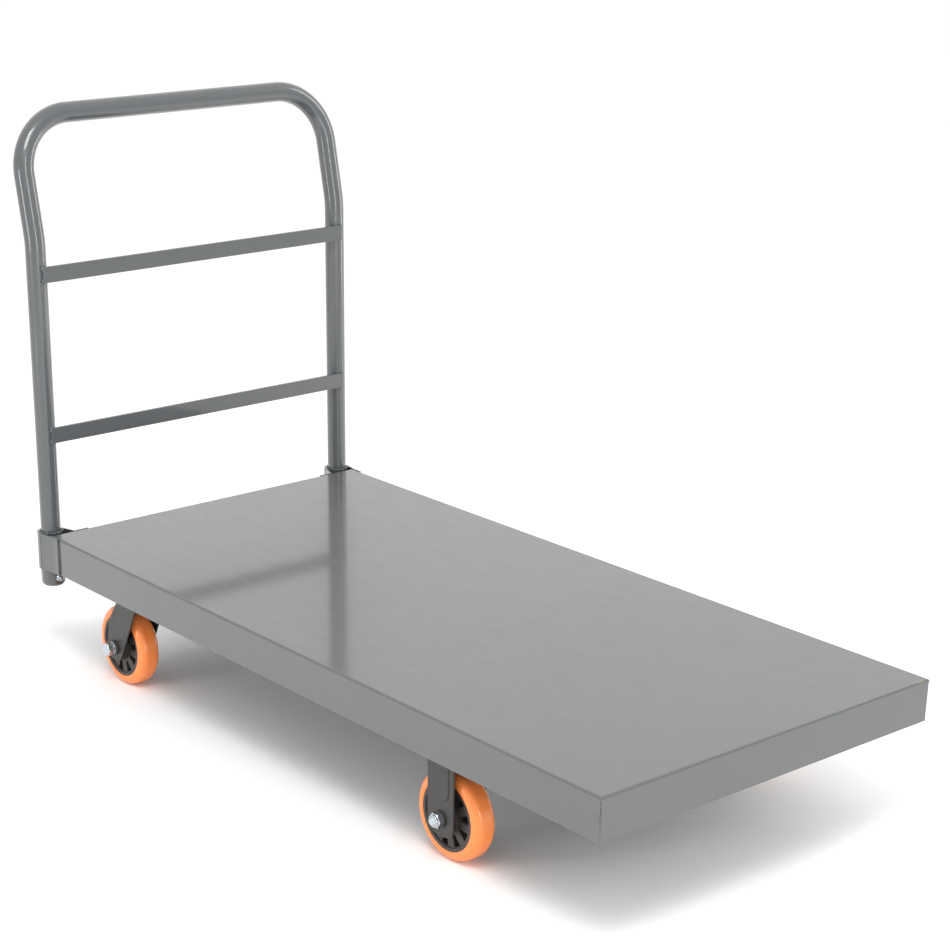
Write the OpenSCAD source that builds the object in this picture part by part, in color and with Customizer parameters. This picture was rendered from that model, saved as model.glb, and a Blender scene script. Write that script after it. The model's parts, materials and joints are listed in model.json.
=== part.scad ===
// Steel platform truck: a folded sheet deck on two swivel and two rigid casters,
// with a bent tube handle that stands in two corner sockets.
// The truck stands on z = 0. X runs along the deck, with the handle at the -X end.
// Y runs across it: the right-hand side is -Y and the left-hand side is +Y.

/* [Deck] */
// Length of the deck sheet
deck_l = 1260; // [900:10:1800]
// Width of the deck sheet
deck_w = 600; // [450:10:900]
// Depth of the folded edge, over the sheet
edge_h = 60; // [54:1:90]
// Thickness of the deck sheet
sheet_t = 2; // [1.5:0.5:3]
// Outside radius of the folds along the top
fold_r = 3.5; // [3:0.5:6]
// Width of the open corner joint just below the fold
slit_top_w = 1; // [0.5:0.5:3]
// Width of the open corner joint at the bottom edge
slit_bottom_w = 3; // [1:0.5:5]
// Depth of solid metal over the open corner joint
slit_cover = 7; // [5:1:15]

/* [Cross members] */
// Depth of the channels under the sheet
channel_h = 50; // [40:1:50]
// Thickness of the channels
channel_t = 3; // [2:0.5:4]
// Margin of the caster channels beyond the mounting plates
channel_margin = 2.5; // [1:0.5:15]
// Width of the three stiffening channels
stiffener_w = 40; // [30:2:60]
// Middle of the rear stiffening channel, from the deck's handle end
rear_stiffener_x = 408; // [330:1:480]
// Middle of the front stiffening channel, from the deck's free end
front_stiffener_x = 190; // [120:1:200]

/* [Handle] */
// Outside diameter of the handle tube
tube_d = 31.75; // [25:0.25:34]
// Wall of the handle tube
tube_wall = 2; // [1.5:0.5:3]
// Distance of the legs' centre lines beyond the deck's handle end
leg_out = 25; // [23:0.5:40]
// Distance of the legs' centre lines in from the deck's sides
leg_inset = 14; // [10:0.5:30]
// Height of the top bar's centre line over the deck
bow_h = 647; // [600:1:800]
// Height over the deck at which the legs start to lean back
lean_h = 450; // [440:1:480]
// Angle of the leaning part from upright
lean_a = 12; // [6:1:15]
// Bend radius where the lean starts, at the centre line
lean_r = 125; // [80:5:160]
// Bend radius of the two top corners, at the centre line
corner_r = 88; // [60:1:110]
// Width of the two flat crossbars
bar_w = 25; // [20:1:40]
// Thickness of the crossbars
bar_t = 5; // [3:0.5:8]
// Depth of the seat worn into a crossbar by the weld to a leg
bar_seat = 0.5; // [0.3:0.1:1]
// Height of the upper crossbar's middle over the deck
upper_bar_h = 414; // [300:1:420]
// Height of the lower crossbar's middle over the deck
lower_bar_h = 160; // [100:1:250]

/* [Sockets] */
// Gap round a leg inside its socket
socket_gap = 1.175; // [0.4:0.005:1.5]
// Wall of the socket tubes
socket_wall = 2; // [1.5:0.5:2]
// Height of a socket's rim over the deck
socket_rim = 1.5; // [0:0.5:5]
// Depth of a socket's closed end below the deck
socket_drop = 90; // [85:1:110]
// Outside radius of the rounded closed end
cup_r = 9; // [5:0.5:12]
// Thickness of the corner straps
strap_t = 3; // [2:0.5:4]
// Distance from the deck's side at which a strap starts on the handle end
strap_end_lap = 68; // [60:1:90]
// Distance from the deck's side at which it leaves the handle end
strap_end_bend = 42; // [40:1:50]
// Distance from the handle end at which it finishes on the deck's side
strap_side_lap = 22; // [15:1:40]
// Distance from the handle end at which it meets the deck's side
strap_side_bend = 8; // [4:1:12]
// Shank diameter of the bolts that lock the handle
lock_d = 8; // [6:1:8]
// Depth of the locking bolts below the deck
lock_drop = 73; // [71:1:74]

/* [Casters] */
// Swivel axis of the swivel casters, from the deck's handle end
swivel_x = 193; // [170:1:220]
// Axle of the rigid casters, from the deck's free end
rigid_setback = 312; // [290:1:400]
// Gap between a mounting plate and the deck's folded side
plate_gap = 1; // [1:1:48]
// Distance of a swivel caster's axle behind its swivel axis
trail = 40; // [35:1:48]
// Diameter over the tread
wheel_d = 127; // [110:1:150]
// Width of the tread
wheel_w = 35; // [30:1:38]
// Radius of the tread's shoulders
shoulder_r = 6; // [3:0.5:8]
// Thickness of the tread on the moulded wheel core
tread_t = 15; // [12:1:17]
// Number of pockets in each face of the core
pockets = 10; // [8:1:12]
// Clear height between a swivel caster's tread and its fork crown
crown_gap = 15; // [15:0.5:25]
// Clear width between the legs of a fork
fork_in_w = 50; // [49:1:56]
// Thickness of the fork legs
fork_t = 3; // [2.5:0.5:4]
// Width of a rigid fork's legs
rigid_leg_w = 52; // [46:1:54]
// Radius of a swivel fork's tips
swivel_tip_r = 22; // [18:1:24]
// Distance of a rigid fork's rounded end below the axle
rigid_tip = 24; // [20:1:28]
// Length of the mounting plates, along the deck
plate_l = 105; // [102:1:106]
// Width of the mounting plates, across the deck
plate_w = 80; // [76:1:80]
// Thickness of the mounting plates and fork crowns
plate_t = 4; // [3:0.5:5]
// Distance of the mounting holes from the ends of a plate
hole_end = 12.5; // [10:0.5:13.5]
// Distance of the mounting holes from the sides of a plate
hole_side = 10; // [9:0.5:11]
// Shank diameter of the mounting bolts
mount_d = 8; // [6:1:8]
// Diameter of the balls in the swivel heads
ball_d = 5; // [4:0.5:6]
// Number of balls in each ring
balls = 14; // [10:1:16]
// Shank diameter of the axle bolts
axle_d = 12; // [10:1:12]
// Wall of the sleeve that a wheel turns on
sleeve_wall = 1.25; // [1:0.25:2]
// Outside diameter of the wheel bearings
bearing_d = 32; // [28:1:34]
// Width of the wheel bearings
bearing_w = 9; // [7:1:11]

/* [Fits] */
// Radial clearance of the running fits
run_gap = 0.05; // [0.02:0.01:0.1]
// Radial clearance of the bolts in their holes
bolt_gap = 0.25; // [0.2:0.05:0.5]
// Gap at the sides of each turning wheel
side_gap = 0.3; // [0.3:0.1:0.6]

/* [Hidden] */
$fn = 64;

RIGHT = -1;
LEFT = 1;
PAINT = "#76797b";
FORK_PAINT = "#5a5856";
ZINC = "#c4c8ca";
TREAD = "#f08a3c";
CORE = "#3a3331";
STEEL = "#9a9da0";

// Sizes that follow from their neighbours
socket_d = tube_d + 2 * (socket_gap + socket_wall);
core_d = wheel_d - 2 * tread_t;
sleeve_d = axle_d + 2 * (bolt_gap + sleeve_wall);
hole_sx = plate_l - 2 * hole_end;
hole_sy = plate_w - 2 * hole_side;
caster_channel_w = plate_l + 2 * channel_margin;
caster_inset = plate_w / 2 + sheet_t + plate_gap;
rigid_x = deck_l - rigid_setback;
stiffener_x = [rear_stiffener_x, (rear_stiffener_x + rigid_x) / 2, deck_l - front_stiffener_x];

// Heights over the floor, from the tread up to the deck
axle_z = wheel_d / 2;
race_h = 3;
crown_z = wheel_d + crown_gap + plate_t;
race_z = crown_z + ball_d + run_gap;
plate_z = race_z + race_h;
channel_z = plate_z + plate_t;
deck_z = channel_z + channel_h + sheet_t;

// The handle's leaning part, from the deck's handle end back to the top bar
bend_swell = 0.05;
bend_lap = 1;
lean_x = leg_out + lean_r * (1 - cos(lean_a));
lean_rise = bow_h - lean_h - lean_r * sin(lean_a);
lean_l = lean_rise / cos(lean_a);
bow_reach = lean_x + lean_rise * tan(lean_a) + tube_d / 2 + bend_swell;

// The handle end of the deck, placed so that x = 0 is midway along the whole truck
end_x = (bow_reach - deck_l) / 2;
leg_y = deck_w / 2 - leg_inset;
socket_z = deck_z - socket_drop;
leg_z = socket_z + cup_r;
lock_z = deck_z - lock_drop;

// Casters
caster_y = deck_w / 2 - caster_inset;
rear_axle_x = swivel_x - trail;
fork_y = fork_in_w / 2;

// Corner straps
strap_ease = 0.05;
strap_run_in = 1;

// Swivel head: rings about the kingpin, by radius, and their heights
kingpin_d = 12;
lower_race_r = fork_y - 1;
ball_ring_r = lower_race_r - 3;
race_in_r = ball_ring_r - 5;
race_out_r = ball_ring_r + 5;
seal_in_r = race_out_r + 2;
seal_t = 1.5;
seal_h = 4;
crown_r = seal_in_r + 5;
lower_race_z = crown_z - plate_t - ball_d - run_gap;
kingpin_nut_h = 8;
kingpin_end = 1;

// A raked leg's rear edge turns at a knee, back from the axle and down from the crown
knee_back = 14;
knee_drop = 40;
rigid_tip_r = 18;
rib_t = 1.2;

// Wheel core, out from its hub
hub_gap = 1;
hub_r = bearing_d / 2 + 6;
bearing_step = 4;
bearing_z = fork_y - hub_gap - 1;
rim_t = 5.5;
rim_inset = 0.5;
core_recess = 2;
pocket_in_r = hub_r + 4;
pocket_out_r = core_d / 2 - rim_t - 1;
pocket_in_w = 7;
pocket_out_w = 11;
pocket_depth = 11;

// Hardware: hexagons, heads and nuts are shares of the shank's diameter
hex_share = 1.6;
head_share = 0.65;
nut_share = 0.8;
bolt_end = 2.5;
washer_r = 12;
washer_t = 2.5;
spacer_t = 3;
axle_seat = fork_y + fork_t + washer_t;
axle_nut_h = 10;
axle_end = 3;
swivel_collar = 6;
collar_r = 9;

// The angle of a circle's outward normal where a line from p touches it
function tangent_normal(p, c, r, s) =
    atan2(c[1] - p[1], c[0] - p[0]) + s * (asin(r / norm(c - p)) + 90);
function unit(a) = [cos(a), sin(a)];

// ---- shared shapes ----

module on_side(s) {
    if (s == LEFT) children();
    else mirror([0, 1, 0]) children();
}

module from_end() translate([end_x, 0, 0]) children();

// A hexagon of the given width across flats, lying along Z
module hex(af, h) cylinder(d = af / cos(30), h = h, $fn = 6);

// A shank along +Z with its head below z = 0
module bolt(d, l) {
    head = head_share * d;
    cylinder(d = d, h = l);
    translate([0, 0, -head]) hex(hex_share * d, head);
}

module nut(d, h) difference() {
    hex(hex_share * d, h);
    translate([0, 0, -1]) cylinder(d = d, h = h + 2);
}

module ring(r_out, r_in, h) difference() {
    cylinder(r = r_out, h = h);
    translate([0, 0, -1]) cylinder(r = r_in, h = h + 2);
}

// ---- deck ----

// A folded edge profile: x across, y down from 0, with its two top corners rounded
module fold_profile(w, h, r) {
    translate([-w / 2, -h]) square([w, h - r]);
    translate([r - w / 2, -h]) square([w - 2 * r, h]);
    for (s = [-1, 1]) translate([s * (w / 2 - r), -r]) circle(r);
}

module pan_block(inset) {
    l = deck_l - 2 * inset;
    w = deck_w - 2 * inset;
    r = fold_r - inset;
    translate([deck_l / 2, 0, deck_z - inset]) intersection() {
        rotate([90, 0, 0]) linear_extrude(w, center = true) fold_profile(l, edge_h, r);
        rotate([90, 0, 90]) linear_extrude(l, center = true) fold_profile(w, edge_h, r);
    }
}

// The open joint between two folded edges, a slot that widens downwards
module corner_slit() rotate([90, 0, 90]) linear_extrude(6 * fold_r, center = true)
    polygon([[-slit_top_w / 2, -slit_cover], [slit_top_w / 2, -slit_cover],
             [slit_bottom_w / 2, -edge_h - 1], [-slit_bottom_w / 2, -edge_h - 1]]);

module deck_pan() color(PAINT) from_end() difference() {
    pan_block(0);
    pan_block(sheet_t);
    for (x = [0, deck_l], s = [-1, 1])
        translate([x, s * deck_w / 2, deck_z])
            rotate([0, 0, (x > 0 ? 1 : -1) * s * 45]) corner_slit();
}

// A channel across the deck, open towards the sheet
module channel(x, w) translate([x, 0, channel_z]) difference() {
    l = deck_w - 2 * sheet_t;
    translate([-w / 2, -l / 2, 0]) cube([w, l, channel_h]);
    translate([channel_t - w / 2, -l / 2 - 1, channel_t])
        cube([w - 2 * channel_t, l + 2, channel_h]);
}

module stiffener(i) color(PAINT) from_end() channel(stiffener_x[i], stiffener_w);

module caster_channel(x) color(PAINT) from_end() difference() {
    channel(x, caster_channel_w);
    for (s = [-1, 1]) translate([x, s * caster_y, channel_z - 1]) at_mount_holes()
        cylinder(r = mount_d / 2 + bolt_gap, h = channel_t + 2);
}

// ---- corner sockets ----

// The corner where two faces, both set off by t from p, meet
function miter(p, n1, n2, t) = p + t * (n1 + n2) / (1 + n1 * n2);

// A strap runs from the deck's handle end round the socket to the deck's side. Its flat
// parts run a little way into the curved part, which is slightly thicker.
module strap(s) color(PAINT) on_side(s) from_end() translate([0, 0, deck_z - edge_h]) {
    r = socket_d / 2 + strap_ease;
    t = strap_t;
    c = [-leg_out, leg_y];
    on_end = [0, deck_w / 2 - strap_end_bend];
    on_flank = [strap_side_bend, deck_w / 2];
    a_end = tangent_normal(on_end, c, r, 1);
    a_flank = tangent_normal(on_flank, c, r, -1) + 360;
    back_end = c + strap_run_in * unit(a_end - 90);
    back_flank = c + strap_run_in * unit(a_flank + 90);
    sweep = a_end - a_flank;
    linear_extrude(edge_h) intersection() {
        translate(c) difference() {
            circle(r + t + strap_ease);
            circle(r - strap_ease);
        }
        polygon([c, for (i = [0 : 3]) c + 3 * r * unit(a_flank + sweep * i / 3)]);
    }
    linear_extrude(edge_h)
        polygon([back_end + r * unit(a_end), on_end, [0, deck_w / 2 - strap_end_lap],
                 [-t, deck_w / 2 - strap_end_lap], miter(on_end, unit(a_end), [-1, 0], t),
                 back_end + (r + t) * unit(a_end)]);
    linear_extrude(edge_h)
        polygon([back_flank + r * unit(a_flank), back_flank + (r + t) * unit(a_flank),
                 miter(on_flank, unit(a_flank), [0, 1], t), [strap_side_lap, deck_w / 2 + t],
                 [strap_side_lap, deck_w / 2], on_flank]);
}

// Half profile of a closed tube end: x is the radius, y runs up from the closed end
module cup_profile(r, h, round_r) {
    translate([0, round_r]) square([r, h - round_r]);
    square([r - round_r, h]);
    translate([r - round_r, round_r]) intersection() {
        circle(round_r);
        translate([0, -round_r]) square(2 * round_r);
    }
}

module lock_hole() translate([0, 0, lock_z]) rotate([0, 90, 0])
    cylinder(r = lock_d / 2 + bolt_gap, h = 2 * socket_d, center = true);

module socket(s) color(PAINT) on_side(s) from_end() translate([-leg_out, leg_y, 0])
    difference() {
        h = socket_drop + socket_rim;
        translate([0, 0, socket_z]) rotate_extrude() cup_profile(socket_d / 2, h, cup_r);
        translate([0, 0, socket_z + socket_wall]) rotate_extrude()
            cup_profile(socket_d / 2 - socket_wall, h, cup_r - socket_wall);
        lock_hole();
    }

// ---- handle ----

module tube_section(grow) difference() {
    circle(d = tube_d + 2 * grow);
    circle(d = tube_d - 2 * (tube_wall + grow));
}

// Tubes run a little way into the bends, whose walls are swollen by the bending
module tube(l) translate([0, 0, -bend_lap]) linear_extrude(l + bend_lap) tube_section(0);

module bend(r, a) rotate_extrude(angle = a) translate([r, 0]) tube_section(bend_swell);

// The frame of the leaning part, with the legs along Z
module leaning() translate([-leg_out - lean_r, 0, deck_z + lean_h]) rotate([0, -lean_a, 0])
    translate([lean_r, 0, 0]) children();

module bow_leg() {
    translate([-leg_out, leg_y, deck_z + lean_h]) mirror([0, 0, 1])
        tube(deck_z + lean_h - leg_z);
    translate([-leg_out - lean_r, leg_y, deck_z + lean_h]) rotate([90, 0, 0])
        bend(lean_r, lean_a);
    leaning() translate([0, leg_y, 0]) {
        tube(lean_l - corner_r + bend_lap);
        translate([0, -corner_r, lean_l - corner_r]) rotate([90, 0, 90]) {
            bend(corner_r, 90);
            translate([0, corner_r, 0]) rotate([0, -90, 0]) tube(leg_y - corner_r);
        }
    }
}

module handle_bow() color(PAINT) from_end() difference() {
    union() {
        bow_leg();
        mirror([0, 1, 0]) bow_leg();
    }
    for (s = [-1, 1]) translate([-leg_out, s * leg_y, 0]) lock_hole();
}

module crossbar(h) color(PAINT) from_end() difference() {
    translate([-leg_out + tube_d / 2 - bar_seat, -leg_y, deck_z + h - bar_w / 2])
        cube([bar_t, 2 * leg_y, bar_w]);
    for (s = [-1, 1]) translate([-leg_out, s * leg_y, deck_z + h - bar_w])
        cylinder(d = tube_d, h = 2 * bar_w);
}

// Both locks are drawn by one module, from the outer face of each socket
module at_locks(x) from_end() for (s = [-1, 1])
    translate([x - leg_out, s * leg_y, lock_z]) rotate([0, 90, 0]) children();

module handle_bolts() color(ZINC) at_locks(-socket_d / 2)
    bolt(lock_d, socket_d + nut_share * lock_d + bolt_end);

module handle_nuts() color(ZINC) at_locks(socket_d / 2) nut(lock_d, nut_share * lock_d);

// ---- caster mounting ----

module at_mount_holes() for (x = [-1, 1], y = [-1, 1])
    translate([x * hole_sx / 2, y * hole_sy / 2, 0]) children();

module at_casters(z) from_end() for (x = [swivel_x, rigid_x], s = [-1, 1])
    translate([x, s * caster_y, z]) at_mount_holes() children();

module caster_bolts() color(ZINC) at_casters(plate_z)
    bolt(mount_d, plate_t + channel_t + nut_share * mount_d + bolt_end);

module caster_nuts() color(ZINC) at_casters(channel_z + channel_t)
    nut(mount_d, nut_share * mount_d);

module mount_plate() translate([0, 0, plate_z]) difference() {
    translate([-plate_l / 2, -plate_w / 2, 0]) cube([plate_l, plate_w, plate_t]);
    translate([0, 0, -1]) at_mount_holes()
        cylinder(r = mount_d / 2 + bolt_gap, h = plate_t + 2);
}

// ---- swivel head, drawn round its swivel axis ----

module at_swivel(s) on_side(s) from_end() translate([swivel_x, caster_y, 0]) children();

module swivel_plate(s) color(FORK_PAINT) at_swivel(s) difference() {
    union() {
        mount_plate();
        translate([0, 0, race_z]) ring(race_out_r, race_in_r, race_h);
    }
    translate([0, 0, plate_z - 1]) cylinder(d = kingpin_d, h = plate_t + 2);
}

// The pin is headed over in the plate and carries the lower ball race
module kingpin(s) color(ZINC) at_swivel(s) {
    bottom = lower_race_z - race_h - kingpin_nut_h - kingpin_end;
    translate([0, 0, bottom]) cylinder(d = kingpin_d, h = channel_z - bottom);
    translate([0, 0, lower_race_z - race_h]) cylinder(r = lower_race_r, h = race_h);
}

module kingpin_nut(s) color(ZINC) at_swivel(s)
    translate([0, 0, lower_race_z - race_h - kingpin_nut_h]) nut(kingpin_d, kingpin_nut_h);

module swivel_balls(s) color(STEEL) at_swivel(s)
    for (z = [crown_z + ball_d / 2, crown_z - plate_t - ball_d / 2], i = [0 : balls - 1])
        rotate([0, 0, i * 360 / balls]) translate([ball_ring_r, 0, z]) sphere(d = ball_d);

module swivel_seal(s) color(CORE) at_swivel(s)
    translate([0, 0, crown_z]) ring(seal_in_r + seal_t, seal_in_r, seal_h);

// Side view of a raked leg: x from the swivel axis, y up from the floor
module raked_outline() {
    c = [-trail, axle_z];
    r = swivel_tip_r;
    front = [race_out_r, crown_z];
    knee = [-trail - knee_back, crown_z - knee_drop];
    polygon([[-race_out_r, crown_z], front, c + r * unit(tangent_normal(front, c, r, 1)),
             c + r * unit(tangent_normal(knee, c, r, -1)), knee]);
    translate(c) circle(r);
}

module leg_pair(t, y) for (s = [-1, 1]) translate([0, s * (y + t / 2), 0])
    rotate([90, 0, 0]) linear_extrude(t, center = true) children();

module axle_holes(x) translate([x, 0, axle_z]) rotate([90, 0, 0])
    cylinder(r = axle_d / 2 + bolt_gap, h = 2 * fork_in_w, center = true);

module swivel_fork(s) color(FORK_PAINT) at_swivel(s) difference() {
    union() {
        leg_pair(fork_t, fork_y) raked_outline();
        translate([-race_out_r, -fork_y, crown_z - plate_t])
            cube([2 * race_out_r, fork_in_w, plate_t]);
        translate([0, 0, crown_z - plate_t]) cylinder(r = crown_r, h = plate_t);
    }
    translate([0, 0, crown_z - plate_t - 1])
        cylinder(r = kingpin_d / 2 + run_gap, h = plate_t + 2);
    axle_holes(-trail);
}

// ---- rigid bracket, drawn round the middle of its plate ----

// Side view of a straight leg with two rounded lower corners
module straight_outline() {
    r = rigid_tip_r;
    w = rigid_leg_w;
    z = axle_z - rigid_tip;
    translate([-w / 2, z + r]) square([w, plate_z - z - r]);
    translate([r - w / 2, z]) square([w - 2 * r, 2 * r]);
    for (s = [-1, 1]) translate([s * (w / 2 - r), z + r]) circle(r);
}

// A pressed rib stands out of the upper part of each leg
module rib_outline() {
    r = rigid_leg_w / 3;
    z = axle_z + rigid_tip + r;
    translate([0, z]) circle(r);
    translate([-r, z]) square([2 * r, plate_z - z]);
}

module rigid_bracket(s) color(FORK_PAINT) on_side(s) from_end()
    translate([rigid_x, caster_y, 0]) {
        mount_plate();
        difference() {
            union() {
                leg_pair(fork_t, fork_y) straight_outline();
                leg_pair(rib_t, fork_y + fork_t) rib_outline();
                translate([-rigid_leg_w / 2, -fork_y, plate_z - plate_t])
                    cube([rigid_leg_w, fork_in_w, plate_t]);
            }
            axle_holes(0);
        }
    }

// ---- wheel and axle, drawn along Z with +Z towards the outside of the truck ----

module at_axle(s, x) on_side(s) from_end()
    translate([x, caster_y, axle_z]) rotate([-90, 0, 0]) children();

module both_ends() for (m = [0, 1]) mirror([0, 0, m]) children();

module tread(s, x) color(TREAD) at_axle(s, x) rotate_extrude() {
    r = shoulder_r;
    w = wheel_w;
    depth = (wheel_d - core_d) / 2;
    translate([core_d / 2, -w / 2]) square([depth - r, w]);
    translate([core_d / 2, r - w / 2]) square([depth, w - 2 * r]);
    for (e = [-1, 1]) translate([wheel_d / 2 - r, e * (w / 2 - r)]) circle(r);
}

// One pocket, widening outwards
module pocket() linear_extrude(pocket_depth + 1)
    polygon([[pocket_in_r, -pocket_in_w / 2], [pocket_out_r, -pocket_out_w / 2],
             [pocket_out_r, pocket_out_w / 2], [pocket_in_r, pocket_in_w / 2]]);

module core(s, x) color(CORE) at_axle(s, x) difference() {
    rim = wheel_w / 2 - rim_inset;
    face = rim - core_recess;
    hub = fork_y - hub_gap;
    union() {
        cylinder(r = hub_r, h = 2 * hub, center = true);
        cylinder(d = core_d - 2 * rim_t, h = 2 * face, center = true);
        translate([0, 0, -rim]) ring(core_d / 2, core_d / 2 - rim_t, 2 * rim);
    }
    cylinder(d = bearing_d - 2 * bearing_step, h = 3 * hub, center = true);
    both_ends() {
        translate([0, 0, bearing_z - bearing_w]) cylinder(d = bearing_d, h = fork_y);
        for (i = [0 : pockets - 1]) rotate([0, 0, i * 360 / pockets])
            translate([0, 0, face - pocket_depth]) pocket();
    }
}

module bearings(s, x) color(STEEL) at_axle(s, x) both_ends()
    translate([0, 0, bearing_z - bearing_w])
        ring(bearing_d / 2, sleeve_d / 2 + run_gap, bearing_w);

module sleeve(s, x) color(ZINC) at_axle(s, x) translate([0, 0, -fork_y])
    ring(sleeve_d / 2, axle_d / 2 + bolt_gap, fork_in_w);

// Spacers beside the bearings, and a flat washer outside each fork leg
module washers(s, x) color(ZINC) at_axle(s, x) both_ends() {
    translate([0, 0, bearing_z + side_gap])
        ring(sleeve_d / 2 + spacer_t, sleeve_d / 2, fork_y - bearing_z - side_gap);
    translate([0, 0, fork_y + fork_t]) ring(washer_r, axle_d / 2, washer_t);
}

// The head is outermost when out is 1, and the nut when it is -1. The collar is a
// round shoulder of this height under the head.
module axle_bolt(s, x, out, collar) color(ZINC) at_axle(s, x) scale_z(out) {
    translate([0, 0, axle_seat + collar]) rotate([180, 0, 0])
        bolt(axle_d, 2 * axle_seat + collar + axle_nut_h + axle_end);
    if (collar > 0) translate([0, 0, axle_seat]) cylinder(r = collar_r, h = collar);
}

module axle_nut(s, x, out) color(ZINC) at_axle(s, x) scale_z(-out)
    translate([0, 0, axle_seat]) nut(axle_d, axle_nut_h);

module scale_z(out) mirror([0, 0, out < 0 ? 1 : 0]) children();

// ---- nodes ----

deck_pan();
caster_channel(swivel_x);  // swivel_channel
caster_channel(rigid_x);  // rigid_channel
stiffener(0);  // rear_stiffener
stiffener(1);  // middle_stiffener
stiffener(2);  // front_stiffener
strap(RIGHT);  // right_strap
strap(LEFT);  // left_strap
socket(RIGHT);  // right_socket
socket(LEFT);  // left_socket
handle_bow();
crossbar(upper_bar_h);  // upper_crossbar
crossbar(lower_bar_h);  // lower_crossbar
handle_bolts();
handle_nuts();
caster_bolts();
caster_nuts();
swivel_plate(RIGHT);  // right_swivel_plate
kingpin(RIGHT);  // right_kingpin
kingpin_nut(RIGHT);  // right_kingpin_nut
swivel_fork(RIGHT);  // right_swivel_fork
swivel_balls(RIGHT);  // right_swivel_balls
swivel_seal(RIGHT);  // right_swivel_seal
sleeve(RIGHT, rear_axle_x);  // right_swivel_sleeve
axle_bolt(RIGHT, rear_axle_x, 1, swivel_collar);  // right_swivel_bolt
axle_nut(RIGHT, rear_axle_x, 1);  // right_swivel_nut
washers(RIGHT, rear_axle_x);  // right_swivel_washers
tread(RIGHT, rear_axle_x);  // right_swivel_tread
core(RIGHT, rear_axle_x);  // right_swivel_core
bearings(RIGHT, rear_axle_x);  // right_swivel_bearings
swivel_plate(LEFT);  // left_swivel_plate
kingpin(LEFT);  // left_kingpin
kingpin_nut(LEFT);  // left_kingpin_nut
swivel_fork(LEFT);  // left_swivel_fork
swivel_balls(LEFT);  // left_swivel_balls
swivel_seal(LEFT);  // left_swivel_seal
sleeve(LEFT, rear_axle_x);  // left_swivel_sleeve
axle_bolt(LEFT, rear_axle_x, 1, swivel_collar);  // left_swivel_bolt
axle_nut(LEFT, rear_axle_x, 1);  // left_swivel_nut
washers(LEFT, rear_axle_x);  // left_swivel_washers
tread(LEFT, rear_axle_x);  // left_swivel_tread
core(LEFT, rear_axle_x);  // left_swivel_core
bearings(LEFT, rear_axle_x);  // left_swivel_bearings
rigid_bracket(RIGHT);  // right_rigid_bracket
sleeve(RIGHT, rigid_x);  // right_rigid_sleeve
axle_bolt(RIGHT, rigid_x, -1, 0);  // right_rigid_bolt
axle_nut(RIGHT, rigid_x, -1);  // right_rigid_nut
washers(RIGHT, rigid_x);  // right_rigid_washers
tread(RIGHT, rigid_x);  // right_rigid_tread
core(RIGHT, rigid_x);  // right_rigid_core
bearings(RIGHT, rigid_x);  // right_rigid_bearings
rigid_bracket(LEFT);  // left_rigid_bracket
sleeve(LEFT, rigid_x);  // left_rigid_sleeve
axle_bolt(LEFT, rigid_x, -1, 0);  // left_rigid_bolt
axle_nut(LEFT, rigid_x, -1);  // left_rigid_nut
washers(LEFT, rigid_x);  // left_rigid_washers
tread(LEFT, rigid_x);  // left_rigid_tread
core(LEFT, rigid_x);  // left_rigid_core
bearings(LEFT, rigid_x);  // left_rigid_bearings
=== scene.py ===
import json
import math
import random

import bmesh
import bpy
from mathutils import Matrix, Vector

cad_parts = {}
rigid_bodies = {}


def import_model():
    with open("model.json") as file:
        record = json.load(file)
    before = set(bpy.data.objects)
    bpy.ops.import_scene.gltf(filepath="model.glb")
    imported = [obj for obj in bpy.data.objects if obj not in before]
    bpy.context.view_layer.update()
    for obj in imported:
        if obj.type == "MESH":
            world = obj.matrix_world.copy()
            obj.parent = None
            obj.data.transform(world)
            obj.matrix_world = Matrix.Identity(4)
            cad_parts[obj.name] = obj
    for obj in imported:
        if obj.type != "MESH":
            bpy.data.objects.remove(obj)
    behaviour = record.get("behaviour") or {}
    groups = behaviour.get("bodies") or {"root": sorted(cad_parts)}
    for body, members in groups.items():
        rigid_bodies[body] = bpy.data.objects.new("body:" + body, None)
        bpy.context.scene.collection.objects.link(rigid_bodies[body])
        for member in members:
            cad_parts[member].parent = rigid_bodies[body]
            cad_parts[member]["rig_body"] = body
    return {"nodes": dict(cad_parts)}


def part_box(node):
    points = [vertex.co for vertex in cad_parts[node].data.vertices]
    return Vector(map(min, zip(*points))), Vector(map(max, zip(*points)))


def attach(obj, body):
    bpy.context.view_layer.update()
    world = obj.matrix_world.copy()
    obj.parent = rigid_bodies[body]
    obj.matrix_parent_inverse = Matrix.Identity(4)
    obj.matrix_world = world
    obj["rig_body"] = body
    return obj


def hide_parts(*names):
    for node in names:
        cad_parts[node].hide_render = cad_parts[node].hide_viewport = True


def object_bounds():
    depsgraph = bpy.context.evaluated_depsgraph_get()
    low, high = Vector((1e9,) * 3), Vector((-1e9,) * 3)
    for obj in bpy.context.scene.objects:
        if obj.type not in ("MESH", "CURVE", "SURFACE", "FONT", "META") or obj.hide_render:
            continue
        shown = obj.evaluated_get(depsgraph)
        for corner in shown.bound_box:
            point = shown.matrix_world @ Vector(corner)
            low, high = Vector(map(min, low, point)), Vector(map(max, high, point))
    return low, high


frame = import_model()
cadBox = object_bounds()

mm = 0.001
scene = bpy.context.scene
nodes = frame["nodes"]
sides = {"right": -1, "left": 1}
print("frame loaded:", len(nodes), "nodes")


def middle(node):
    low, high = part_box(node)
    return (low + high) / 2


# Places that several pieces share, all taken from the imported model
deckLow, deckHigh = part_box("deck_pan")
deckTop = deckHigh.z
handleEnd = deckLow.x
legX = middle("left_socket").x
legY = middle("left_socket").y


def linear(code):
    channels = [int(code[i:i + 2], 16) / 255 for i in (1, 3, 5)]
    return tuple(c / 12.92 if c <= 0.04045 else ((c + 0.055) / 1.055) ** 2.4 for c in channels) + (1,)


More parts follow.
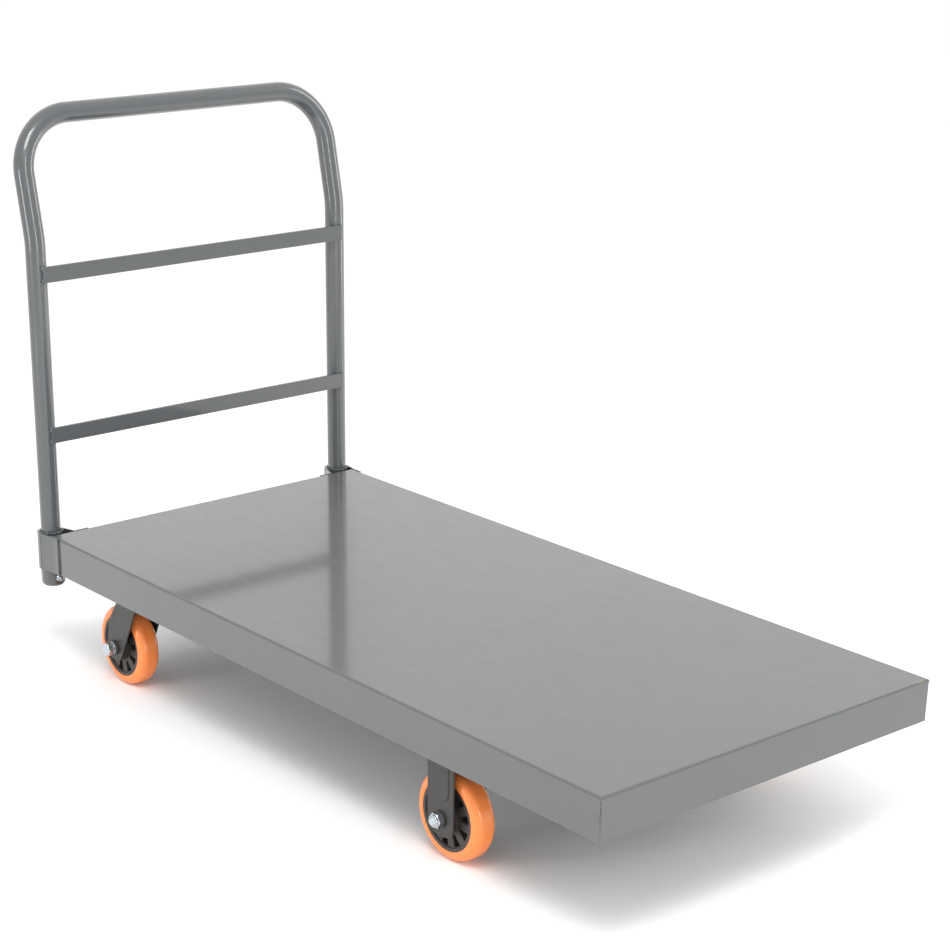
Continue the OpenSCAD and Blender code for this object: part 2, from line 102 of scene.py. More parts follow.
def addNode(owner, kind, settings=None, links=None):
    tree = owner.node_tree
    node = tree.nodes.new(kind)
    for key, value in (settings or {}).items():
        if isinstance(key, int) or key in node.inputs:
            node.inputs[key].default_value = value
        else:
            setattr(node, key, value)
    for key, socket in (links or {}).items():
        tree.links.new(socket, node.inputs[key])
    return node


def startMaterial(name):
    material = bpy.data.materials.new(name)
    material.use_nodes = True
    material.node_tree.nodes.clear()
    place = addNode(material, "ShaderNodeTexCoord").outputs["Object"]
    return material, place


def endMaterial(material, settings, links):
    shader = addNode(material, "ShaderNodeBsdfPrincipled", settings, links)
    addNode(material, "ShaderNodeOutputMaterial", None, {"Surface": shader.outputs[0]})
    return material


# Polyester powder baked on steel: one even colour under a glossy skin, with faint
# clouding where the coat is thicker, orange peel, and light rub marks in the gloss.
def powderCoat(name, look):
    material, place = startMaterial(name)
    cloud = addNode(material, "ShaderNodeTexNoise", {"Scale": 1 / (look["cloud"] * mm), "Detail": 4.0},
                    {"Vector": place})
    colour = addNode(material, "ShaderNodeMix",
                     {"data_type": "RGBA", 6: linear(look["dark"]), 7: linear(look["light"])},
                     {0: cloud.outputs[0]}).outputs[2]
    if "stain" in look:
        x, y, z, size = look["stain"]["place"]
        stretch = look["stain"]["stretch"]
        drawn = addNode(material, "ShaderNodeVectorMath", {"operation": "MULTIPLY", 1: stretch},
                        {0: place}).outputs[0]
        off = addNode(material, "ShaderNodeVectorMath",
                      {"operation": "DISTANCE", 1: (x * stretch[0], y * stretch[1], z * stretch[2])},
                      {0: drawn})
        ragged = addNode(material, "ShaderNodeTexNoise", {"Scale": 1 / (4 * mm), "Detail": 3.0},
                         {"Vector": place})
        edge = addNode(material, "ShaderNodeMath", {"operation": "MULTIPLY_ADD", 1: -size, 2: size * 1.4},
                       {0: ragged.outputs[0]})
        inside = addNode(material, "ShaderNodeMapRange",
                         {"From Min": 0.0, "To Min": look["stain"]["depth"], "To Max": 0.0},
                         {"Value": off.outputs["Value"], "From Max": edge.outputs[0]})
        colour = addNode(material, "ShaderNodeMix", {"data_type": "RGBA", 7: linear(look["stain"]["colour"])},
                         {0: inside.outputs[0], 6: colour}).outputs[2]
    rubPlace = addNode(material, "ShaderNodeMapping", {"Scale": look["rubStretch"]}, {"Vector": place})
    rub = addNode(material, "ShaderNodeTexNoise",
                  {"Scale": 1 / (look["rub"] * mm), "Detail": 5.0, "Roughness": 0.6},
                  {"Vector": rubPlace.outputs[0]})
    rough = addNode(material, "ShaderNodeMapRange",
                    {"From Min": 0.4, "From Max": 0.75, "To Min": look["gloss"],
                     "To Max": look["gloss"] + look["rubDepth"]},
                    {"Value": rub.outputs[0]})
    wave = addNode(material, "ShaderNodeTexNoise", {"Scale": 1 / (look["wave"] * mm), "Detail": 1.0},
                   {"Vector": place})
    waved = addNode(material, "ShaderNodeBump", {"Strength": 1.0, "Distance": look["waveDepth"] * mm},
                    {"Height": wave.outputs[0]})
    peel = addNode(material, "ShaderNodeTexNoise", {"Scale": 1 / (look["peel"] * mm), "Detail": 2.0},
                   {"Vector": place})
    peeled = addNode(material, "ShaderNodeBump", {"Strength": 1.0, "Distance": look["peelDepth"] * mm},
                     {"Height": peel.outputs[0], "Normal": waved.outputs[0]})
    return endMaterial(material, {"IOR": look["ior"], "Coat Weight": look["coat"],
                                  "Coat Roughness": look["coatGloss"]},
                       {"Base Color": colour, "Roughness": rough.outputs[0], "Normal": peeled.outputs[0]})


# Orange peel is really 1 to 2 mm across. It is drawn a little coarser so that it shows.
sheetLook = {"dark": "#464849", "light": "#4b4d4e", "cloud": 260, "rub": 55, "rubStretch": (1, 2.2, 1),
             "rubDepth": 0.07,
             "gloss": 0.3, "wave": 190, "waveDepth": 0.3, "peel": 4, "peelDepth": 0.004, "ior": 1.52,
             "coat": 1.0,
             "coatGloss": 0.1, "stain": {"place": (deckHigh.x - 2 * mm, 0.283, deckTop, 5 * mm),
                                         "stretch": (1, 0.4, 1), "depth": 0.55, "colour": "#8a855c"}}
tubeLook = {"dark": "#434648", "light": "#484b4d", "cloud": 120, "rub": 30, "rubStretch": (1, 1, 0.4),
            "rubDepth": 0.05,
            "gloss": 0.3, "wave": 60, "waveDepth": 0.05, "peel": 3, "peelDepth": 0.006, "ior": 1.52,
            "coat": 1.0,
            "coatGloss": 0.08}
forkLook = {"dark": "#2e2d2b", "light": "#363432", "cloud": 60, "rub": 14, "rubStretch": (1, 1, 1),
            "rubDepth": 0.1,
            "gloss": 0.34, "wave": 40, "waveDepth": 0.04, "peel": 2.2, "peelDepth": 0.012, "ior": 1.5,
            "coat": 0.0,
            "coatGloss": 0.2}
sheetPaint = powderCoat("powderCoatedSheetSteel", sheetLook)
tubePaint = powderCoat("powderCoatedTubeSteel", tubeLook)
forkPaint = powderCoat("powderCoatedCasterSteel", forkLook)

# Bright zinc plate on steel: a pale bluish metal with faint cloudy patches where the
# chromate lies thicker, and fine turning marks that break up its highlights.
zincLook = {"pale": "#d3d9de", "blue": "#b3bcc6", "cloud": 5, "gloss": 0.22, "clouded": 0.38, "grain": 1.2,
            "grainDepth": 0.01}
zincPlate, place = startMaterial("brightZincPlatedSteel")
cloud = addNode(zincPlate, "ShaderNodeTexNoise", {"Scale": 1 / (zincLook["cloud"] * mm), "Detail": 4.0},
                {"Vector": place})
colour = addNode(zincPlate, "ShaderNodeMix",
                 {"data_type": "RGBA", 6: linear(zincLook["pale"]), 7: linear(zincLook["blue"])},
                 {0: cloud.outputs[0]})
rough = addNode(zincPlate, "ShaderNodeMapRange",
                {"From Min": 0.35, "From Max": 0.7, "To Min": zincLook["gloss"],
                 "To Max": zincLook["clouded"]},
                {"Value": cloud.outputs[0]})
grain = addNode(zincPlate, "ShaderNodeTexNoise", {"Scale": 1 / (zincLook["grain"] * mm), "Detail": 2.0},
                {"Vector": place})
grained = addNode(zincPlate, "ShaderNodeBump", {"Strength": 1.0, "Distance": zincLook["grainDepth"] * mm},
                  {"Height": grain.outputs[0]})
endMaterial(zincPlate, {"Metallic": 1.0},
            {"Base Color": colour.outputs[2], "Roughness": rough.outputs[0], "Normal": grained.outputs[0]})

# Ground chrome steel of the balls and bearing rings: a clean grey mirror, thinly oiled.
bearingLook = {"bright": "#b8bcbf", "oiled": "#8f9190", "film": 3, "gloss": 0.12, "oiledGloss": 0.24}
bearingSteel, place = startMaterial("groundBearingSteel")
film = addNode(bearingSteel, "ShaderNodeTexNoise", {"Scale": 1 / (bearingLook["film"] * mm), "Detail": 3.0},
               {"Vector": place})
colour = addNode(bearingSteel, "ShaderNodeMix",
                 {"data_type": "RGBA", 6: linear(bearingLook["bright"]), 7: linear(bearingLook["oiled"])},
                 {0: film.outputs[0]})
rough = addNode(bearingSteel, "ShaderNodeMapRange",
                {"To Min": bearingLook["gloss"], "To Max": bearingLook["oiledGloss"]},
                {"Value": film.outputs[0]})
endMaterial(bearingSteel, {"Metallic": 1.0}, {"Base Color": colour.outputs[2], "Roughness": rough.outputs[0]})

# Cast polyurethane: a clear strong orange with a wet gloss. A little light passes
# through it, so its shaded side stays warm, and its mould leaves very faint ripples.
treadLook = {"deep": "#f58442", "pale": "#fb9350", "cloud": 40, "gloss": 0.16, "scuffed": 0.3, "scuff": 9,
             "ripple": 12, "rippleDepth": 0.04, "through": 0.12, "depth": 3 * mm}
treadUrethane, place = startMaterial("castPolyurethane")
cloud = addNode(treadUrethane, "ShaderNodeTexNoise",
                {"Scale": 1 / (treadLook["cloud"] * mm), "Detail": 3.0}, {"Vector": place})
colour = addNode(treadUrethane, "ShaderNodeMix",
                 {"data_type": "RGBA", 6: linear(treadLook["deep"]), 7: linear(treadLook["pale"])},
                 {0: cloud.outputs[0]})
scuff = addNode(treadUrethane, "ShaderNodeTexNoise",
                {"Scale": 1 / (treadLook["scuff"] * mm), "Detail": 6.0, "Roughness": 0.65}, {"Vector": place})
rough = addNode(treadUrethane, "ShaderNodeMapRange",
                {"From Min": 0.5, "From Max": 0.75, "To Min": treadLook["gloss"],
                 "To Max": treadLook["scuffed"]},
                {"Value": scuff.outputs[0]})
ripple = addNode(treadUrethane, "ShaderNodeTexNoise",
                 {"Scale": 1 / (treadLook["ripple"] * mm), "Detail": 1.0}, {"Vector": place})
rippled = addNode(treadUrethane, "ShaderNodeBump",
                  {"Strength": 1.0, "Distance": treadLook["rippleDepth"] * mm}, {"Height": ripple.outputs[0]})
endMaterial(treadUrethane, {"IOR": 1.5, "Subsurface Weight": treadLook["through"],
                            "Subsurface Scale": treadLook["depth"],
                            "Subsurface Radius": (1.0, 0.45, 0.15)},
            {"Base Color": colour.outputs[2], "Roughness": rough.outputs[0], "Normal": rippled.outputs[0]})

# Glass-filled nylon, moulded: brown-black and satin, with a fine dry grain from the fibres.
nylonLook = {"dark": "#2c2624", "pale": "#373130", "cloud": 14, "gloss": 0.36, "dry": 0.5, "grain": 1.5,
             "grainDepth": 0.03}
coreNylon, place = startMaterial("glassFilledNylon")
cloud = addNode(coreNylon, "ShaderNodeTexNoise", {"Scale": 1 / (nylonLook["cloud"] * mm), "Detail": 4.0},
                {"Vector": place})
colour = addNode(coreNylon, "ShaderNodeMix",
                 {"data_type": "RGBA", 6: linear(nylonLook["dark"]), 7: linear(nylonLook["pale"])},
                 {0: cloud.outputs[0]})
grain = addNode(coreNylon, "ShaderNodeTexNoise", {"Scale": 1 / (nylonLook["grain"] * mm), "Detail": 3.0},
                {"Vector": place})
rough = addNode(coreNylon, "ShaderNodeMapRange", {"To Min": nylonLook["gloss"], "To Max": nylonLook["dry"]},
                {"Value": grain.outputs[0]})
grained = addNode(coreNylon, "ShaderNodeBump", {"Strength": 1.0, "Distance": nylonLook["grainDepth"] * mm},
                  {"Height": grain.outputs[0]})
endMaterial(coreNylon, {"IOR": 1.53},
            {"Base Color": colour.outputs[2], "Roughness": rough.outputs[0], "Normal": grained.outputs[0]})

# Nitrile rubber of the dust seals: dull black with a dusty bloom.
rubberLook = {"dark": "#1d1c1b", "bloom": "#33312e", "cloud": 6, "gloss": 0.6, "grain": 0.8,
              "grainDepth": 0.02}
sealRubber, place = startMaterial("nitrileRubber")
cloud = addNode(sealRubber, "ShaderNodeTexNoise", {"Scale": 1 / (rubberLook["cloud"] * mm), "Detail": 4.0},
                {"Vector": place})
colour = addNode(sealRubber, "ShaderNodeMix",
                 {"data_type": "RGBA", 6: linear(rubberLook["dark"]), 7: linear(rubberLook["bloom"])},
                 {0: cloud.outputs[0]})
grain = addNode(sealRubber, "ShaderNodeTexNoise", {"Scale": 1 / (rubberLook["grain"] * mm)},
                {"Vector": place})
grained = addNode(sealRubber, "ShaderNodeBump",
                  {"Strength": 1.0, "Distance": rubberLook["grainDepth"] * mm}, {"Height": grain.outputs[0]})
endMaterial(sealRubber, {"IOR": 1.5, "Roughness": rubberLook["gloss"]},
            {"Base Color": colour.outputs[2], "Normal": grained.outputs[0]})

print("materials made:", len(bpy.data.materials))


def joined(parts):
    whole = bmesh.new()
    for part, places in parts:
        mesh = bpy.data.meshes.new("part")
        part.to_mesh(mesh)
        part.free()
        for place in places:
            first = len(whole.verts)
            whole.from_mesh(mesh)
            whole.verts.ensure_lookup_table()
            bmesh.ops.transform(whole, matrix=place, verts=whole.verts[first:])
        bpy.data.meshes.remove(mesh)
    return whole


# wall is a sheet's thickness, added inwards, and edge the radius of its cut edges.
def newPiece(name, bm, material, replaced, body=None, wall=0, edge=0, sharp=32):
    for face in bm.faces:
        face.smooth = True
    for line in bm.edges:
        line.smooth = line.calc_face_angle(0) < math.radians(sharp)
    mesh = bpy.data.meshes.new(name)
    bm.to_mesh(mesh)
    bm.free()
    mesh.materials.append(material)
    piece = bpy.data.objects.new(name, mesh)
    scene.collection.objects.link(piece)
    if wall:
        thick = piece.modifiers.new("sheetWall", "SOLIDIFY")
        thick.thickness, thick.offset, thick.use_even_offset = wall, -1, True
    if edge:
        soft = piece.modifiers.new("cutEdges", "BEVEL")
        soft.width, soft.segments, soft.limit_method, soft.angle_limit = edge, 2, "ANGLE", math.radians(40)
    even = piece.modifiers.new("evenShading", "WEIGHTED_NORMAL")
    even.keep_sharp = True
    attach(piece, body or nodes[replaced[0]]["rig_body"])
    if replaced:
        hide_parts(*replaced)
    return piece


def soften(bm, radius, segments=2, angle=30):
    lines = [e for e in bm.edges if e.calc_face_angle(0) > math.radians(angle)]
    bmesh.ops.bevel(bm, geom=lines, offset=radius, offset_type="OFFSET", segments=segments, profile=0.5,
                    affect="EDGES", clamp_overlap=False, loop_slide=True, material=-1)


# A CAD shape that is right but for its knife edges: a merged copy with eased edges
def softCopy(node, name, radius, material, segments=2):
    bm = bmesh.new()
    bm.from_mesh(nodes[node].data)
    bmesh.ops.remove_doubles(bm, verts=bm.verts, dist=0.002 * mm)
    bmesh.ops.dissolve_limit(bm, angle_limit=math.radians(0.4), verts=bm.verts, edges=bm.edges)
    soften(bm, radius, segments)
    return newPiece(name, bm, material, [node])


# Rounds the corners of a profile of (radius, height) points
def eased(points, radius, steps=3, closed=False):
    made = []
    for i, point in enumerate(points):
        if not closed and i in (0, len(points) - 1):
            made.append(Vector(point))
            continue
        corner = Vector(point)
        before, after = Vector(points[i - 1]) - corner, Vector(points[(i + 1) % len(points)]) - corner
        reach = min(radius, before.length * 0.45, after.length * 0.45)
        start, end = corner + before.normalized() * reach, corner + after.normalized() * reach
        for k in range(steps + 1):
            t = k / steps
            made.append(start * (1 - t) ** 2 + corner * 2 * t * (1 - t) + end * t ** 2)
    return made


# Turns a profile of (radius, height) points, in mm, about Z
def turned(points, steps=64, closed=False):
    bm = bmesh.new()
    verts = [bm.verts.new((r * mm, 0, z * mm)) for r, z in points]
    lines = [bm.edges.new(pair) for pair in zip(verts, verts[1:])]
    if closed:
        lines.append(bm.edges.new((verts[-1], verts[0])))
    bmesh.ops.spin(bm, geom=verts + lines, cent=(0, 0, 0), axis=(0, 0, 1), angle=math.tau, steps=steps,
                   use_merge=True)
    bmesh.ops.remove_doubles(bm, verts=bm.verts, dist=0.001 * mm)
    bmesh.ops.recalc_face_normals(bm, faces=bm.faces)
    return bm


# Cuts six flats on a turned blank between two heights, as a hexagon bar is chamfered
def cutFlats(bm, acrossFlats, low, high):
    for vert in bm.verts:
        if low * mm - 1e-7 <= vert.co.z <= high * mm + 1e-7:
            turn = math.atan2(vert.co.y, vert.co.x) % math.radians(60) - math.radians(30)
            most = acrossFlats * mm / 2 / math.cos(turn)
            reach = vert.co.xy.length
            if reach > most:
                vert.co.xy *= most / reach


# A chamfered hexagon blank's outline from its seat up to its outer face
def hexOutline(acrossFlats, low, high, topEase=0.32):
    corner = acrossFlats / math.sqrt(3) + 0.02
    seat = acrossFlats * 0.475
    drop = (corner - seat) * topEase * 2
    rise = [k / 5 for k in range(6)]
    outline = [(seat + (corner - seat) * t, low + drop * 0.5 * t) for t in rise]
    return outline + [(corner - (corner - seat) * t, high - drop + drop * t) for t in rise]


def thread(radius, low, high, pitch):
    depth = pitch * 0.45
    made = []
    turns = max(1, int((high - low) / pitch))
    for k in range(turns):
        z = low + k * (high - low) / turns
        made += [(radius - depth, z), (radius, z + pitch * 0.45)]
    return made + [(radius - depth, high)]


# A hexagon bolt along Z: its head's outer face is on top, and its threaded end below
def hexBolt(size, seat, end, threadLow, steps=60, collar=None):
    head = seat + size * 0.65
    outline = [(0, end), (size * 0.38, end)] + thread(size / 2, end + size * 0.07, threadLow, size * 0.145)
    outline += [(size / 2, threadLow + size * 0.05)]
    if collar:
        radius, low, ridges = collar
        outline += [(size / 2, low), (radius - 0.7, low)]
        step = (seat - low) / ridges
        for k in range(ridges):
            outline += [(radius, low + step * (k + 0.3)), (radius, low + step * (k + 0.7)),
                        (radius - 0.8, low + step * (k + 1))]
    else:
        outline += [(size / 2, seat)]
    outline += hexOutline(size * 1.6, seat, head) + [(size * 0.55, head - 0.02 * size),
                                                     (0, head - 0.03 * size)]
    bm = turned(outline, steps)
    cutFlats(bm, size * 1.6, seat, head)
    return bm


# A nut from z = 0 up. A lock nut's upper third is a round collar.
def hexNut(size, height, steps=60, lock=False):
    bore = size / 2 - 0.15
    flats = size * 1.6
    if lock:
        top = height * 0.7
        outline = hexOutline(flats, 0, top, 0.2)
        outline += eased([(flats * 0.455, top + 0.1), (flats * 0.44, height), (size * 0.53, height),
                          (size * 0.52, height - 0.6)], 1.1, 4)
    else:
        top = height
        outline = hexOutline(flats, 0, height) + [(size * 0.54, height)]
    outline += [(bore, top - size * 0.05), (bore, size * 0.05), (size * 0.54, 0)]
    bm = turned(outline, steps, closed=True)
    cutFlats(bm, flats, 0, top)
    return bm


# A frame on an axle's middle, with its Z towards the +Y side or the -Y side
def axleFrame(centre, towards):
    return Matrix.Translation(centre) @ Matrix(((1, 0, 0), (0, 0, towards), (0, -towards, 0))).to_4x4()


# Deck: one sheet folded down on all four sides, with an open joint at each corner. Its
# outer and inner skins are cut alike and bridged, which mitres the joints.
deck = {"wall": 2, "fold": 3.5, "foldSteps": 6, "jointCover": 4.5, "jointTop": 1.06, "jointBottom": 2.83,
        "edge": 0.25}
jointTop = deckTop - deck["jointCover"] * mm
jointLean = (deck["jointBottom"] - deck["jointTop"]) * mm / (jointTop - deckLow.z)


def foldedSkin(inset):
    low, high = deckLow + Vector((inset, inset, 0)), deckHigh - Vector((inset, inset, inset))
    bm = bmesh.new()
    bmesh.ops.create_cube(bm, size=1,
                          matrix=Matrix.Translation((low + high) / 2) @ Matrix.Diagonal(high - low).to_4x4())
    bmesh.ops.delete(bm, geom=[f for f in bm.faces if f.normal.z < -0.5], context="FACES_ONLY")
    rim = [e for e in bm.edges if all(v.co.z > high.z - 1e-6 for v in e.verts)]
    bmesh.ops.bevel(bm, geom=rim, offset=deck["fold"] * mm - inset, offset_type="OFFSET",
                    segments=deck["foldSteps"], profile=0.5,
                    affect="EDGES", clamp_overlap=False, material=-1)
    bmesh.ops.bisect_plane(bm, geom=bm.verts[:] + bm.edges[:] + bm.faces[:], dist=1e-7,
                           plane_co=(0, 0, jointTop), plane_no=(0, 0, 1))
    for axis, other in ((0, 1), (1, 0)):
        for limit, out in ((high[axis], 1), (low[axis], -1)):
            flaps = [f for f in bm.faces if f.calc_center_median().z < jointTop
                     and abs(f.normal[other]) > 0.9]
            geom = list({g for f in flaps for g in f.verts[:] + f.edges[:]}) + flaps
            spot, across = Vector((0, 0, jointTop)), Vector((0, 0, -jointLean))
            spot[axis] = limit - out * deck["jointTop"] * mm
            across[axis] = out
            bmesh.ops.bisect_plane(bm, geom=geom, dist=1e-7, plane_co=spot, plane_no=across)
    slivers = []
    for face in bm.faces:
        centre = face.calc_center_median()
        near = [min(centre[axis] - low[axis], high[axis] - centre[axis]) for axis in (0, 1)]
        if centre.z < jointTop and max(near) < 2 * mm:
            slivers.append(face)
    bmesh.ops.delete(bm, geom=slivers, context="FACES")
    return bm, len(slivers)


outside, found = foldedSkin(0)
inside, _ = foldedSkin(deck["wall"] * mm)
bmesh.ops.reverse_faces(inside, faces=inside.faces)
bm = joined([(outside, [Matrix()]), (inside, [Matrix()])])
bmesh.ops.bridge_loops(bm, edges=[e for e in bm.edges if len(e.link_faces) == 1])
bmesh.ops.recalc_face_normals(bm, faces=bm.faces)
openEdges = sum(len(e.link_faces) != 2 for e in bm.edges)
newPiece("deckPan", bm, sheetPaint, ["deck_pan"], edge=deck["edge"] * mm, sharp=40)
print("deck made, joint slivers removed:", found, "open edges:", openEdges)

# Cross members and the plain bent or sawn steel parts keep their shapes, with eased edges
for node, name, radius in (("swivel_channel", "swivelChannel", 1.2), ("rigid_channel", "rigidChannel", 1.2),
                           ("rear_stiffener", "rearStiffener", 1.2),
                           ("middle_stiffener", "middleStiffener", 1.2),
                           ("front_stiffener", "frontStiffener", 1.2), ("right_strap", "rightStrap", 0.5),
                           ("left_strap", "leftStrap", 0.5), ("upper_crossbar", "upperCrossbar", 0.7),
                           ("lower_crossbar", "lowerCrossbar", 0.7)):
    softCopy(node, name, radius * mm, sheetPaint if radius == 1.2 else tubePaint)
print("cross members, straps and crossbars made")

# Handle: one tube, bent four times as it is swept from the right leg round to the left
bow = {"tube": 31.75, "wall": 2, "leanStart": 450, "lean": 12, "leanRadius": 125, "cornerRadius": 88,
       "height": 647,
       "segments": 64, "leanSteps": 8, "cornerSteps": 24}


def sweep(bm, ring, step, times=1):
    for _ in range(times):
        made = bmesh.ops.extrude_edge_only(bm, edges=ring)["geom"]
        fresh = {g for g in made if isinstance(g, bmesh.types.BMVert)}
        ring = [g for g in made if isinstance(g, bmesh.types.BMEdge) and g.verts[0] in fresh
                and g.verts[1] in fresh]
        bmesh.ops.transform(bm, matrix=step, verts=list(fresh))
    return ring


def about(centre, axis, angle):
    return Matrix.Translation(centre) @ Matrix.Rotation(angle, 4, axis) @ Matrix.Translation(-centre)


lean = math.radians(bow["lean"])
leaning = Vector((-math.sin(lean), 0, math.cos(lean)))
across = leaning.cross(Vector((0, 1, 0)))
rise = bow["height"] - bow["leanStart"] - bow["leanRadius"] * math.sin(lean)
straight = (rise / math.cos(lean) - bow["cornerRadius"]) * mm
corner = bow["cornerRadius"] * mm
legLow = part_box("handle_bow")[0].z
leanZ = deckTop + bow["leanStart"] * mm
pivot = Vector((legX - bow["leanRadius"] * mm, 0, leanZ))
leaned = pivot + Matrix.Rotation(-lean, 3, "Y") @ Vector((bow["leanRadius"] * mm, 0, 0)) + leaning * straight
bm = bmesh.new()
bmesh.ops.create_circle(bm, cap_ends=False, radius=bow["tube"] / 2 * mm, segments=bow["segments"],
                        matrix=Matrix.Translation((legX, -legY, legLow)))
ring = bm.edges[:]
ring = sweep(bm, ring, Matrix.Translation((0, 0, leanZ - legLow)))
ring = sweep(bm, ring, about(pivot, Vector((0, 1, 0)), -lean / bow["leanSteps"]), bow["leanSteps"])
ring = sweep(bm, ring, Matrix.Translation(leaning * straight))
turn = math.radians(90) / bow["cornerSteps"]
ring = sweep(bm, ring, about(leaned + Vector((0, corner - legY, 0)), across, turn), bow["cornerSteps"])
ring = sweep(bm, ring, Matrix.Translation((0, 2 * (legY - corner), 0)))
ring = sweep(bm, ring, about(leaned + Vector((0, legY - corner, 0)), across, turn), bow["cornerSteps"])
ring = sweep(bm, ring, Matrix.Translation(-leaning * straight))
ring = sweep(bm, ring, about(pivot, Vector((0, 1, 0)), lean / bow["leanSteps"]), bow["leanSteps"])
ring = sweep(bm, ring, Matrix.Translation((0, 0, legLow - leanZ)))
bmesh.ops.recalc_face_normals(bm, faces=bm.faces)
if bm.faces[0].normal.dot(bm.faces[0].calc_center_median() - Vector((legX, -legY,
        bm.faces[0].calc_center_median().z))) < 0:
    bmesh.ops.reverse_faces(bm, faces=bm.faces)
newPiece("handleBow", bm, tubePaint, ["handle_bow"], wall=bow["wall"] * mm)
print("handle made")

# Corner sockets: a tube with a rounded closed lower end, and bolts that lock the legs
socket = {"tube": 38.1, "wall": 2, "cup": 9, "boltSize": 8, "nut": 6.4, "past": 2.5}
for side, s in sides.items():
    low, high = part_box(f"{side}_socket")
    h = (high.z - low.z) / mm
    r = socket["tube"] / 2
    inner = r - socket["wall"]
    outline = eased([(0, 0), (r, 0), (r, h)], socket["cup"], 8)[:-1]
    outline += eased([(r, h - 2), (r, h), (inner, h), (inner, h - 2)], 0.8, 3)
    outline += eased([(inner, h - 2), (inner, socket["wall"]), (0, socket["wall"])], socket["cup"] - 2, 5)[1:]
    bm = turned(outline, 72)
    bmesh.ops.transform(bm, matrix=Matrix.Translation((legX, s * legY, low.z)), verts=bm.verts)
    newPiece(f"{side}Socket", bm, tubePaint, [f"{side}_socket"])
lockZ = middle("handle_bolts").z
outward = Matrix.Rotation(math.radians(-90), 4, "Y")      # Z turned to face -X, where the heads are
half = socket["tube"] / 2
lockPlaces = [Matrix.Translation((legX, s * legY, lockZ)) @ outward for s in (-1, 1)]
nutPlaces = [place @ Matrix.Rotation(math.pi, 4, "X") @ Matrix.Translation((0, 0, half * mm))
             for place in lockPlaces]
bolt = hexBolt(socket["boltSize"], half, -half - socket["nut"] - socket["past"], -half + 4, 48)
newPiece("handleBolts", joined([(bolt, lockPlaces)]), zincPlate, ["handle_bolts"])
newPiece("handleNuts", joined([(hexNut(socket["boltSize"], socket["nut"], 48, lock=True), nutPlaces)]),
         zincPlate, ["handle_nuts"])
print("sockets and their bolts made")

# Weld beads: overlapping round drops that wander a little, as a hand weld does
weld = {"pitch": 2.6, "drop": 2.3, "wander": 0.5, "seed": 7}
random.seed(weld["seed"])
drops = []


def addBead(start, end, drop=None):
    start, end = Vector(start), Vector(end)
    count = max(2, round((end - start).length / (weld["pitch"] * mm)))
    for k in range(count + 1):
        spot = start.lerp(end, k / count)
        spot += Vector([random.uniform(-1, 1) * weld["wander"] * mm for _ in range(3)])
        reach = cadBox[1].y - 1.2 * (drop or weld["drop"]) * mm
        spot.y = max(-reach, min(reach, spot.y))
        drops.append(Matrix.Translation(spot)
                     @ Matrix.Scale((drop or weld["drop"]) * random.uniform(0.8, 1.15), 4))


deckBottom = deckLow.z
for s in (-1, 1):
    flank = s * (deckHigh.y + 2.4 * mm)
    addBead((handleEnd + 22 * mm, flank - s * 1.8 * mm, deckBottom + 4 * mm),
            (handleEnd + 22 * mm, flank - s * 1.8 * mm, deckTop - 5 * mm), 1.4)
    addBead((handleEnd - 1 * mm, s * 231 * mm, deckBottom + 4 * mm),
            (handleEnd - 1 * mm, s * 231 * mm, deckTop - 5 * mm), 1.7)
    addBead((handleEnd + 2 * mm, s * (deckHigh.y + 0.5 * mm), deckTop - 1 * mm),
            (handleEnd + 20 * mm, s * (deckHigh.y + 0.5 * mm), deckTop - 1 * mm), 1.5)
    for k in range(7):
        a = math.radians(-70 + 20 * k)
        at = Vector((legX + 18.5 * mm * math.cos(a), s * (legY + 18.5 * mm * math.sin(a)),
                     deckTop + 0.4 * mm))
        if k in (0, 1, 3, 4, 6):
            addBead(at, at + Vector((1.5 * mm, 1.5 * mm * s, 0)), 1.5)
    for node in ("upper_crossbar", "lower_crossbar"):
        low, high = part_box(node)
        for z in (low.z + 3 * mm, high.z - 3 * mm):
            addBead((low.x + 2.5 * mm, s * (legY + 0.5 * mm), z - 2 * mm),
                    (low.x + 2.5 * mm, s * (legY + 0.5 * mm), z + 2 * mm), 2.1)
    for x in (408, 1063, 1077, 1241):
        at = Vector((handleEnd + x * mm, s * (deckHigh.y - 3 * mm), deckBottom - 0.2 * mm))
        addBead(at - Vector((5 * mm, 0, 0)), at + Vector((5 * mm, 0, 0)), 1.6)
for node in ("swivel_channel", "rigid_channel", "rear_stiffener", "middle_stiffener", "front_stiffener"):
    low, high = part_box(node)
    for s in (-1, 1):
        for x in (low.x, high.x):
            y = s * (deckHigh.y - 4.2 * mm)
            addBead((x, y, low.z + 7 * mm), (x, y, low.z + 40 * mm), 2.2)
drop = bmesh.new()
bmesh.ops.create_uvsphere(drop, u_segments=12, v_segments=8, radius=mm)
newPiece("weldBeads", joined([(drop, drops)]), tubePaint, [], body="truck", sharp=60)
print("welds made")

# Mounting plates of the swivel casters, their kingpins and seals keep their shapes
for side, s in sides.items():
    softCopy(f"{side}_swivel_plate", f"{side}SwivelPlate", 0.6 * mm, forkPaint)
    softCopy(f"{side}_kingpin", f"{side}Kingpin", 0.5 * mm, zincPlate)
    softCopy(f"{side}_swivel_seal", f"{side}SwivelSeal", 0.4 * mm, sealRubber)
    low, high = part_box(f"{side}_kingpin_nut")
    nut = hexNut(12, (high.z - low.z) / mm)
    bmesh.ops.transform(nut, matrix=Matrix.Translation((middle(f"{side}_kingpin_nut").x,
                                                        middle(f"{side}_kingpin_nut").y, low.z)),
                                                        verts=nut.verts)
    newPiece(f"{side}KingpinNut", nut, zincPlate, [f"{side}_kingpin_nut"])

